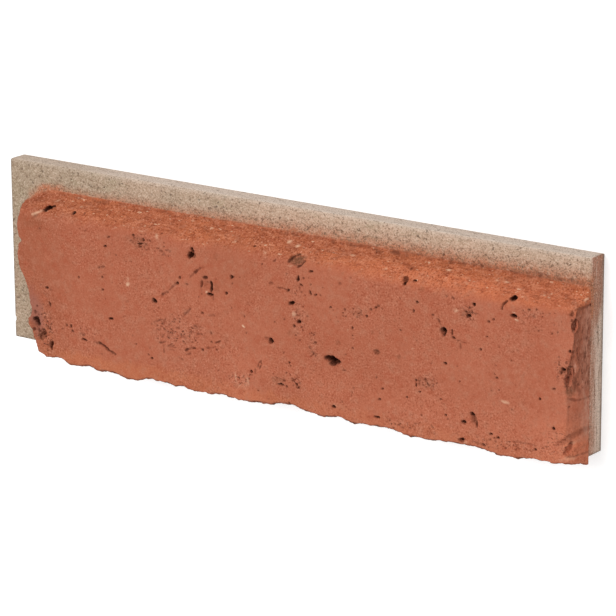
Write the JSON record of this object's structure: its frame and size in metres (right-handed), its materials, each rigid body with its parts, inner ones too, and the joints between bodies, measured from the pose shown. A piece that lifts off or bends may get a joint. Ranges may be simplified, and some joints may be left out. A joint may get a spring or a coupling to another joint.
{
  "type": "concrete brick slip",
  "caption": "Thin cast facing for a wall: a hand-moulded brick face standing out of a grey mortar-joint plate with a flat back.",
  "frame": {"origin": "middle of the plate's flat back face", "axes": "+X along the brick, +Y up the brick as it is laid, towards the joint along its top, +Z out of the brick face; the slip lies on its back on z = 0"},
  "size_m": [0.26, 0.0756, 0.0176],
  "materials": {
    "cast_concrete": "matte"
  },
  "bodies": {
    "root": {"brick_slip": "cast_concrete"}
  },
  "joints": []
}
